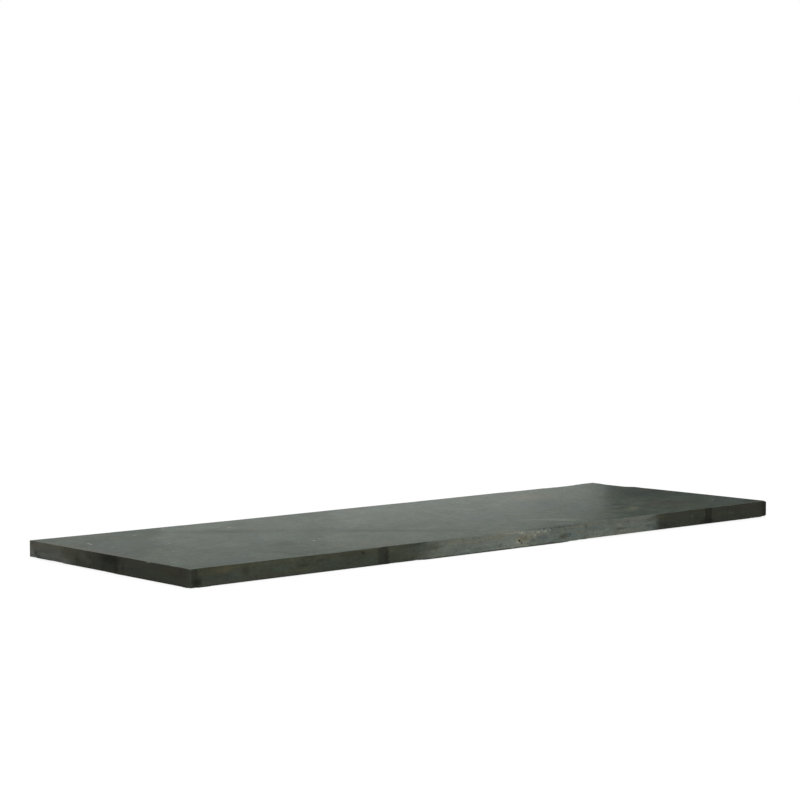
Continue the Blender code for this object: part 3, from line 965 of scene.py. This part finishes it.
def sawn_slate(name, zones, marks, spots):
    """Slate sawn across its bed: matt, with level bed lines, faint upright saw marks and weather stains."""
    material, tree, surface = new_material(name)
    place = add_node(tree, "TexCoord").outputs["Object"]
    grain = stacked(tree, place, SAWN_LAYERS, NOISE_MIDDLE)
    stain = pattern(tree, place, OCHRE_LAYER)
    damp = pattern(tree, place, DAMP_LAYER)
    above_floor = add_node(tree, "SeparateXYZ", {0: place}).outputs[2]
    upper = add_node(tree, "MapRange", ramp_joins(above_floor, OCHRE_HEIGHT), **SMOOTH).outputs[0]
    tone = tinted(tree, colour(SAWN_DRY), damp, DAMP_RAMP, SAWN_DAMP)
    tone = tinted(tree, tone, stain, OCHRE_RAMP, SAWN_OCHRE, thinning=upper)
    tone = painted(tree, warped(tree, place, ZONE_WARP), tone, zones)
    tone = painted(tree, warped(tree, place, SAWN_MARK_WARP), tone, marks)
    bed = pattern(tree, place, BED_LAYER)
    tone = tinted(tree, tone, bed, BED_TO_WARM, WARM_TINT, "SOFT_LIGHT")
    tone = tinted(tree, tone, bed, BED_TO_COOL, COOL_TINT, "SOFT_LIGHT")
    crust = add_node(tree, "MapRange", ramp_joins(pattern(tree, place, CRUST_LAYER), CRUST_RAMP), **SMOOTH)
    tone = painted(tree, warped(tree, place, SAWN_SPOT_WARP), tone, spots, crust.outputs[0])
    # Painted shade: a dark rim along the foot of the edge, with a ragged top.
    ragged = add_node(
        tree, "Math", {0: pattern(tree, place, RIM_SHADE_LAYER), 1: RIM_SHADE_RAGGED, 2: above_floor},
        operation="MULTIPLY_ADD",
    )
    tone = tinted(tree, tone, ragged.outputs[0], RIM_SHADE_RAMP, SAWN_RIM_SHADE)
    light = add_node(tree, "Mix", {0: grain, 6: GRAIN_LOW, 7: GRAIN_HIGH}, data_type="RGBA")
    grained = add_node(
        tree, "Mix", {0: GRAIN_STRENGTH, 6: tone, 7: light.outputs[2]},
        data_type="RGBA", blend_type="OVERLAY",
    )
    tone = scattered(tree, place, grained.outputs[2], SAWN_SCATTERS)
    height = stacked(tree, place, SAWN_RELIEF, NOISE_MIDDLE)
    matt = add_node(tree, "MapRange", ramp_joins(grain, SAWN_ROUGHNESS), **SMOOTH)
    tone, roughness = with_breaks(tree, place, tone, matt.outputs[0])
    finish_surface(tree, surface, tone, roughness, height, SAWN_BUMP, SAWN_SPECULAR)
    return material


RIVEN_DARK = "#272c24"
RIVEN_LIGHT = "#4b5247"
RIVEN_OCHRE = "#5a5742"
RIVEN_DUST = "#747a6e"
RIVEN_SHARE = 0.45
RIVEN_SPECULAR = 0.3
RIVEN_BUMP = 0.4
RIVEN_ROUGHNESS = Ramp(0.3, 0.7, 0.5, 0.68)
# Torn leaves along the grain, their frayed ends, and the grain, drawn as coarse as it needs to show.
RIVEN_LAYERS = (
    Layer(170.0, 70.0, 70.0, radians(15.0), 4.0, 0.9),
    Layer(40.0, 18.0, 18.0, radians(8.0), 4.0, 0.6),
    Layer(8.0, 4.0, 4.0, radians(8.0), 3.0, 0.5),
)
WATER_LAYER = Layer(140.0, 90.0, 90.0, 0.5, 4.0)
WATER_RAMP = Ramp(0.55, 0.72, 0.0, 0.45)
DUST_LAYER = Layer(14.0, 14.0, 14.0, 0.0, 5.0)
DUST_RAMP = Ramp(0.5, 0.8, 0.0, 0.4)


def riven_slate():
    """The underside's riven bed: duller and dustier than the face, with ochre where water has stood."""
    material, tree, surface = new_material("riven slate")
    place = add_node(tree, "TexCoord").outputs["Object"]
    share = stacked(tree, place, RIVEN_LAYERS, RIVEN_SHARE)
    leaves = add_node(
        tree, "Mix", {0: share, 6: colour(RIVEN_DARK), 7: colour(RIVEN_LIGHT)},
        data_type="RGBA",
    )
    water = pattern(tree, place, WATER_LAYER)
    tone = tinted(tree, leaves.outputs[2], water, WATER_RAMP, RIVEN_OCHRE)
    dust = pattern(tree, place, DUST_LAYER)
    tone = tinted(tree, tone, dust, DUST_RAMP, RIVEN_DUST)
    height = stacked(tree, place, RIVEN_LAYERS, NOISE_MIDDLE)
    dusty = add_node(tree, "MapRange", ramp_joins(dust, RIVEN_ROUGHNESS), **SMOOTH)
    tone, roughness = with_breaks(tree, place, tone, dusty.outputs[0])
    finish_surface(tree, surface, tone, roughness, height, RIVEN_BUMP, RIVEN_SPECULAR)
    return material


# --------------------------------------
# The slab, put together.


def add_attribute(data, name, values):
    attribute = data.attributes.new(name, "FLOAT", "POINT")
    attribute.data.foreach_set("value", values.astype(np.float32))


def edge_nearness(block):
    """1 on an arris, falling to 0 a little way from it, across either face."""
    from_end = LENGTH / 2 - np.abs(block[:, 0])
    from_side = WIDTH / 2 - np.abs(block[:, 1])
    from_level = np.minimum(block[:, 2], THICKNESS - block[:, 2])
    from_faces = np.sort(np.column_stack((from_end, from_side, from_level)), axis=1)
    return 1.0 - np.clip(from_faces[:, 1] / WEAR_REACH, 0.0, 1.0)


LEVEL_ENOUGH = 0.8
FRONT_ENOUGH = 0.6
# The material slots, in the order that make_slab fills them.
CLEFT_TOP, RIVEN_UNDERSIDE, SAWN_FRONT, SAWN_OTHERS = range(4)


def surface_kind(normal):
    """The material slot for a face of the unworn block."""
    if abs(normal.z) > LEVEL_ENOUGH:
        return CLEFT_TOP if normal.z > 0.0 else RIVEN_UNDERSIDE
    return SAWN_FRONT if normal.y < -FRONT_ENOUGH else SAWN_OTHERS


def make_slab():
    all_chips = CHIPS + nicks()
    mesh = sawn_block()
    cut_grid(mesh)
    split_where_bent(mesh, all_chips)
    block = np.array([vert.co for vert in mesh.verts])
    points, broken = worn(block, all_chips)
    bmesh.ops.recalc_face_normals(mesh, faces=mesh.faces)
    for face in mesh.faces:
        face.smooth = True
        face.material_index = surface_kind(face.normal)
    for vert, point in zip(mesh.verts, points * MM):
        vert.co = point
    data = bpy.data.meshes.new("slate_slab")
    mesh.to_mesh(data)
    mesh.free()
    add_attribute(data, "broken", broken)
    add_attribute(data, "edge", edge_nearness(block))
    sawn_front = sawn_slate("sawn slate, front edge", FRONT_ZONES, FRONT_MARKS, FRONT_SPOTS)
    sawn_ends = sawn_slate("sawn slate, other edges", LEFT_ZONES, LEFT_MARKS, LEFT_SPOTS)
    for material in (cleft_slate(), riven_slate(), sawn_front, sawn_ends):
        data.materials.append(material)
    slab = bpy.data.objects.new("slate_slab", data)
    bpy.context.scene.collection.objects.link(slab)
    return slab


slab = make_slab()
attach(slab, "root")
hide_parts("slab")


# --------------------------------------
# The stage: floor, lights and camera, in metres.

FLOOR_SIZE = 80.0
FLOOR_GREY = 0.12
FLOOR_GLOW = 0.88
CAMERA_PLACE = Vector((-2.8213, -3.1200, 0.5460))
CAMERA_FORWARD = Vector((0.66059, 0.74789, -0.06563))
CAMERA_LENS = 96.4
CAMERA_SENSOR = 36.0
CLIP_NEAR = 0.05
CLIP_FAR = 200.0
FRAME_PIXELS = 800
NEAREST_CARD_Y = 0.34
CARD_GAP = 0.01
CARD_TINT = (0.955, 1.0, 0.945)
# The cards behind the slab: first and last column of the frame, height and radiance.
Card = namedtuple("Card", "name first_column last_column height radiance")
CARDS = (
    Card("wide card", 20.0, 606.0, 0.5, 0.29),
    Card("middle card", 330.0, 535.0, 0.5, 0.115),
    Card("low card", 160.0, 590.0, 0.2, 0.18),
    Card("long low card", -80.0, 606.0, 0.2, 0.131),
)
WORLD_RADIANCE = 0.02
DIFFUSER_STRENGTH = 3.7
DIFFUSER_SPREAD = radians(100.0)


def make_floor():
    mesh = bmesh.new()
    bmesh.ops.create_grid(mesh, x_segments=1, y_segments=1, size=FLOOR_SIZE / 2)
    data = bpy.data.meshes.new("floor")
    mesh.to_mesh(data)
    mesh.free()
    material, tree, surface = new_material("pale floor")
    surface.inputs["Base Color"].default_value = (FLOOR_GREY, FLOOR_GREY, FLOOR_GREY, 1.0)
    surface.inputs["Emission Color"].default_value = (1.0, 1.0, 1.0, 1.0)
    surface.inputs["Emission Strength"].default_value = FLOOR_GLOW
    surface.inputs["Roughness"].default_value = 1.0
    surface.inputs["Specular IOR Level"].default_value = 0.0
    data.materials.append(material)
    floor = bpy.data.objects.new("floor", data)
    bpy.context.scene.collection.objects.link(floor)


def make_world():
    """White to the camera, and dim to everything else, as a dark studio round a white table is."""
    world = bpy.data.worlds.new("studio")
    bpy.context.scene.world = world
    world.use_nodes = True
    tree = world.node_tree
    background = tree.nodes["Background"]
    path = add_node(tree, "LightPath")
    seen = add_node(
        tree, "Mix", {0: path.outputs["Is Camera Ray"], 2: WORLD_RADIANCE, 3: 1.0},
        data_type="FLOAT",
    )
    tree.links.new(seen.outputs[0], background.inputs["Strength"])
    background.inputs["Color"].default_value = (1.0, 1.0, 1.0, 1.0)


def add_panel(name, place, aim, size, radiance):
    """A plain glowing panel that the camera doesn't see, as bright as radiance says from any side."""
    data = bpy.data.lights.new(name, "AREA")
    data.shape = "RECTANGLE"
    data.size, data.size_y = size
    data.energy = radiance * pi * size[0] * size[1]
    light = bpy.data.objects.new(name, data)
    light.location = place
    light.rotation_euler = (Vector(aim) - Vector(place)).to_track_quat("-Z", "Y").to_euler()
    light.visible_camera = False
    bpy.context.scene.collection.objects.link(light)
    return light


def make_camera():
    data = bpy.data.cameras.new("camera")
    data.lens = CAMERA_LENS
    data.sensor_width = CAMERA_SENSOR
    data.clip_start = CLIP_NEAR
    data.clip_end = CLIP_FAR
    camera = bpy.data.objects.new("camera", data)
    camera.location = CAMERA_PLACE
    camera.rotation_euler = CAMERA_FORWARD.to_track_quat("-Z", "Y").to_euler()
    bpy.context.scene.collection.objects.link(camera)
    bpy.context.scene.camera = camera


def column_direction(u):
    """The level direction from the camera through a column of the frame."""
    right = CAMERA_FORWARD.cross(Vector((0.0, 0.0, 1.0))).normalized()
    pixels_per_unit = CAMERA_LENS / CAMERA_SENSOR * FRAME_PIXELS
    ray = CAMERA_FORWARD + right * (u - FRAME_PIXELS / 2) / pixels_per_unit
    return Vector((ray.x, ray.y, 0.0)).normalized()


def where_column_meets(u, y):
    """The X at which the upright plane through a column of the frame crosses the line of the given Y."""
    run = column_direction(u)
    return CAMERA_PLACE.x + run.x * (y - CAMERA_PLACE.y) / run.y


def add_card(card, y):
    """An upright card just behind the slab, from one column of the frame to another."""
    left_end, right_end = (where_column_meets(u, y) for u in (card.first_column, card.last_column))
    middle = Vector(((left_end + right_end) / 2, y, card.height / 2))
    size = (right_end - left_end, card.height)
    light = add_panel(card.name, middle, middle - Vector((0.0, 1.0, 0.0)), size, card.radiance)
    light.data.color = CARD_TINT


def make_lights():
    diffuser = bpy.data.lights.new("overhead diffuser", "SUN")
    diffuser.energy = DIFFUSER_STRENGTH
    diffuser.angle = DIFFUSER_SPREAD
    light = bpy.data.objects.new("overhead diffuser", diffuser)
    bpy.context.scene.collection.objects.link(light)
    for k, card in enumerate(CARDS):
        add_card(card, NEAREST_CARD_Y + k * CARD_GAP)


make_floor()
make_world()
make_lights()
make_camera()
bpy.context.scene.view_settings.view_transform = "Standard"
